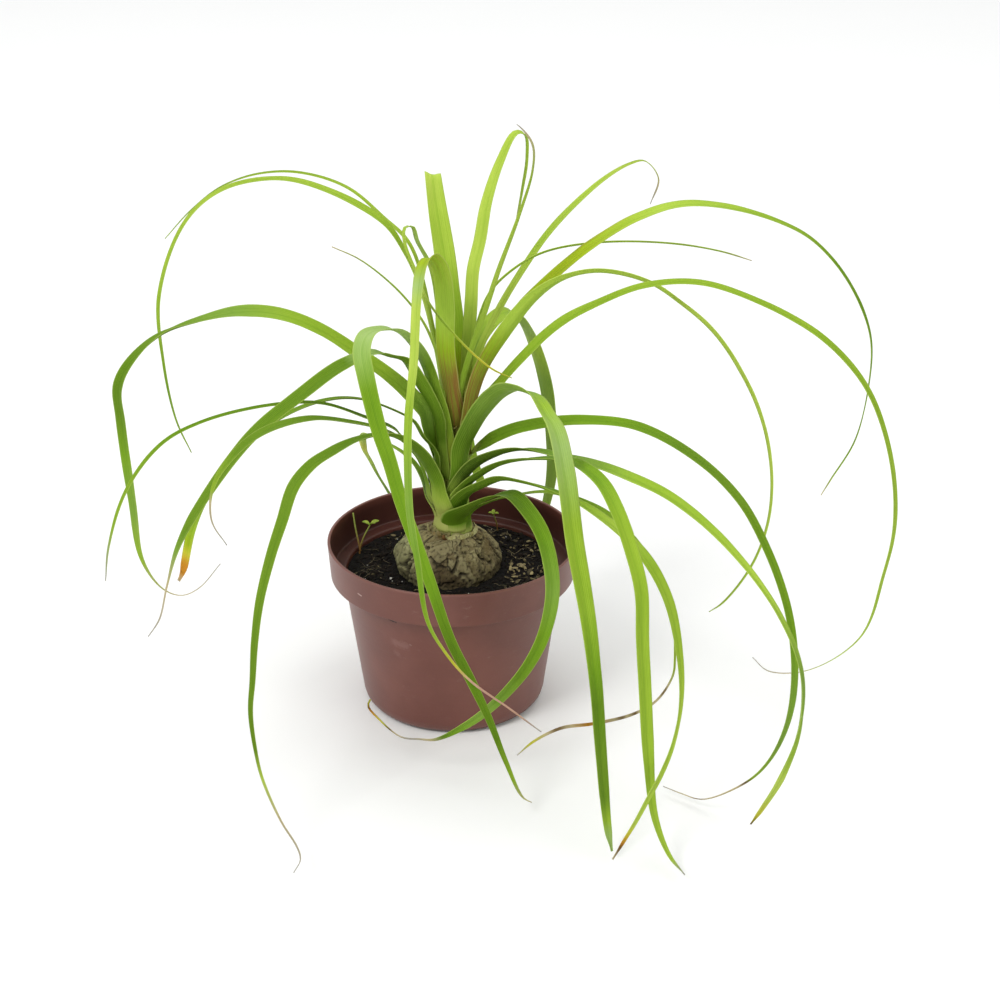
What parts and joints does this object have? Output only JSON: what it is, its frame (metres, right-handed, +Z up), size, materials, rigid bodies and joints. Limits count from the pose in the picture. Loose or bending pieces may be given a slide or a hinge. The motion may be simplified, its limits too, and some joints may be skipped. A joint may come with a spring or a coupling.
{
  "type": "potted ponytail palm",
  "caption": "Young ponytail palm in a round plastic nursery pot: a swollen woody caudex half buried in soil, with long strap leaves that arch out and hang past the rim.",
  "frame": {"origin": "middle of the pot's flat underside, on the surface that it stands on", "axes": "+Z up along the pot's axis, -Y towards the picture's camera, +X to the right of that view"},
  "size_m": [0.356, 0.3018, 0.2904],
  "materials": {
    "pot_plastic": "terracotta-brown moulded plastic, slightly glossy, lightly scuffed",
    "soil": "loose dark peat mix with bark crumbs, fibre and white grit, matte",
    "bark": "dry grey-tan bark, finely cracked into plates, matte",
    "leaf": "smooth green blade with lengthwise veins, waxy satin",
    "seedling": "soft pale green, satin"
  },
  "bodies": {
    "root": {"pot": "pot_plastic", "soil": "soil", "caudex": "bark", "leaf_back_left": "leaf", "leaf_back_right": "leaf", "leaf_back_right_high": "leaf", "leaf_behind_high": "leaf", "leaf_behind_low": "leaf", "leaf_behind_middle": "leaf", "leaf_centre_upright": "leaf", "leaf_far_right": "leaf", "leaf_folded_thread": "leaf", "leaf_front_arch": "leaf", "leaf_front_hanging": "leaf", "leaf_front_left": "leaf", "leaf_front_loop": "leaf", "leaf_front_right": "leaf", "leaf_front_right_low": "leaf", "leaf_high_left": "leaf", "leaf_high_left_thin": "leaf", "leaf_high_right": "leaf", "leaf_left_bent": "leaf", "leaf_left_low": "leaf", "leaf_left_orange_tip": "leaf", "leaf_left_spur": "leaf", "leaf_left_wide": "leaf", "leaf_left_wiry": "leaf", "leaf_low_hoop": "leaf", "leaf_right_arch": "leaf", "leaf_right_drooping": "leaf", "leaf_right_dry_tail": "leaf", "leaf_right_low": "leaf", "leaf_right_thread": "leaf", "leaf_tall_curled": "leaf", "leaf_tall_right": "leaf", "seedling_leafy": "seedling", "seedling_small": "seedling", "seedling_stalk": "seedling"}
  },
  "joints": []
}
